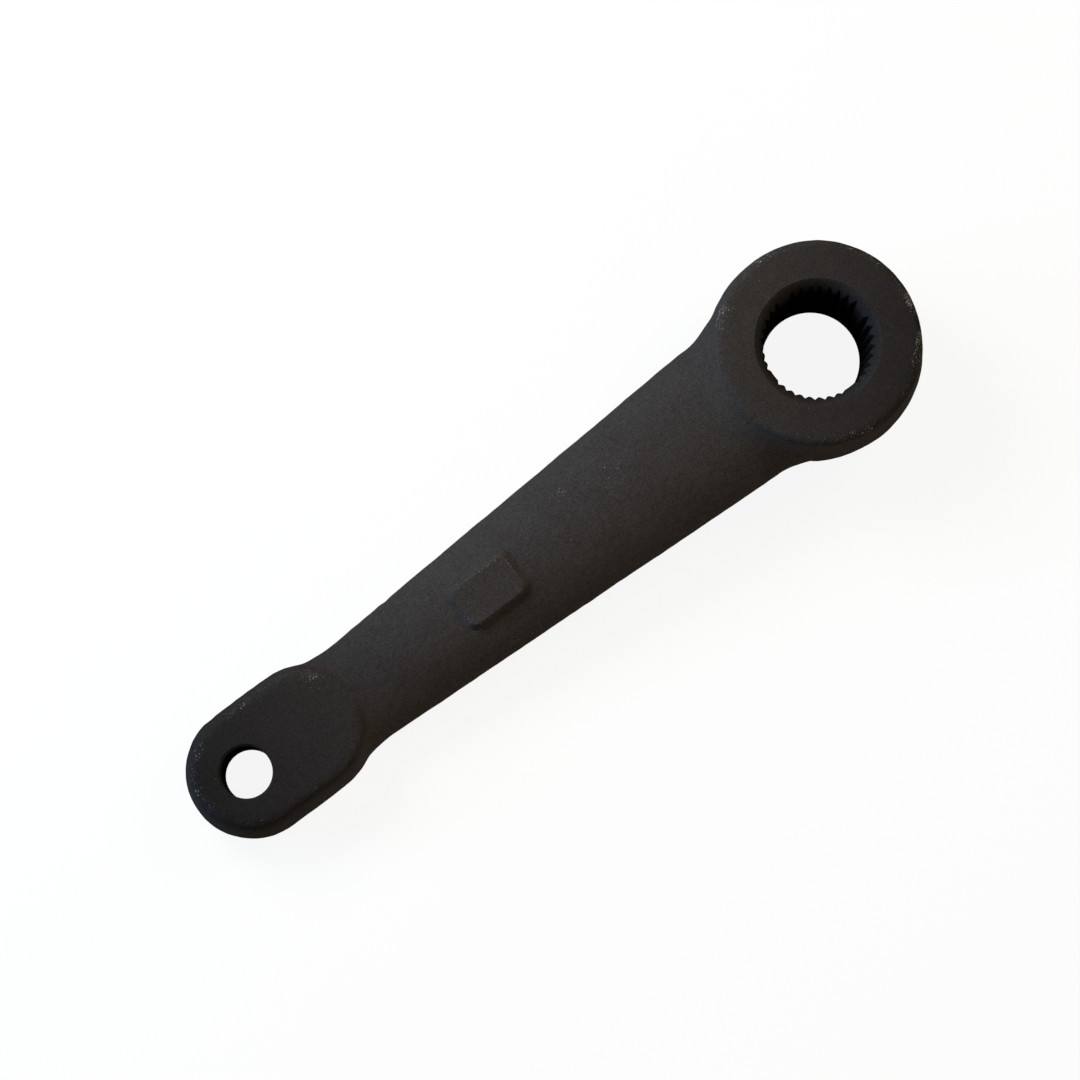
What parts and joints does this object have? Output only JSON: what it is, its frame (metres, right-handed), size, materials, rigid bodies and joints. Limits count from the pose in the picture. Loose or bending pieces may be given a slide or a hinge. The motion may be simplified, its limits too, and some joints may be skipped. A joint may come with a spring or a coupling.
{
  "type": "pitman arm",
  "caption": "Forged steel steering arm with a tapered serrated boss at one end, a crowned tapering shank and a drilled flat eye at the other.",
  "frame": {"origin": "on the serrated bore's axis, in the plane of the lower faces that the arm lies on", "axes": "+X from the serrated bore to the stud hole, +Z along the serrated bore's axis towards its wide mouth, +Y completes the right hand"},
  "size_m": [0.246, 0.0608, 0.036],
  "materials": {
    "forged_steel": "satin black over a forged skin"
  },
  "bodies": {
    "root": {"pitman_arm": "forged_steel"}
  },
  "joints": []
}
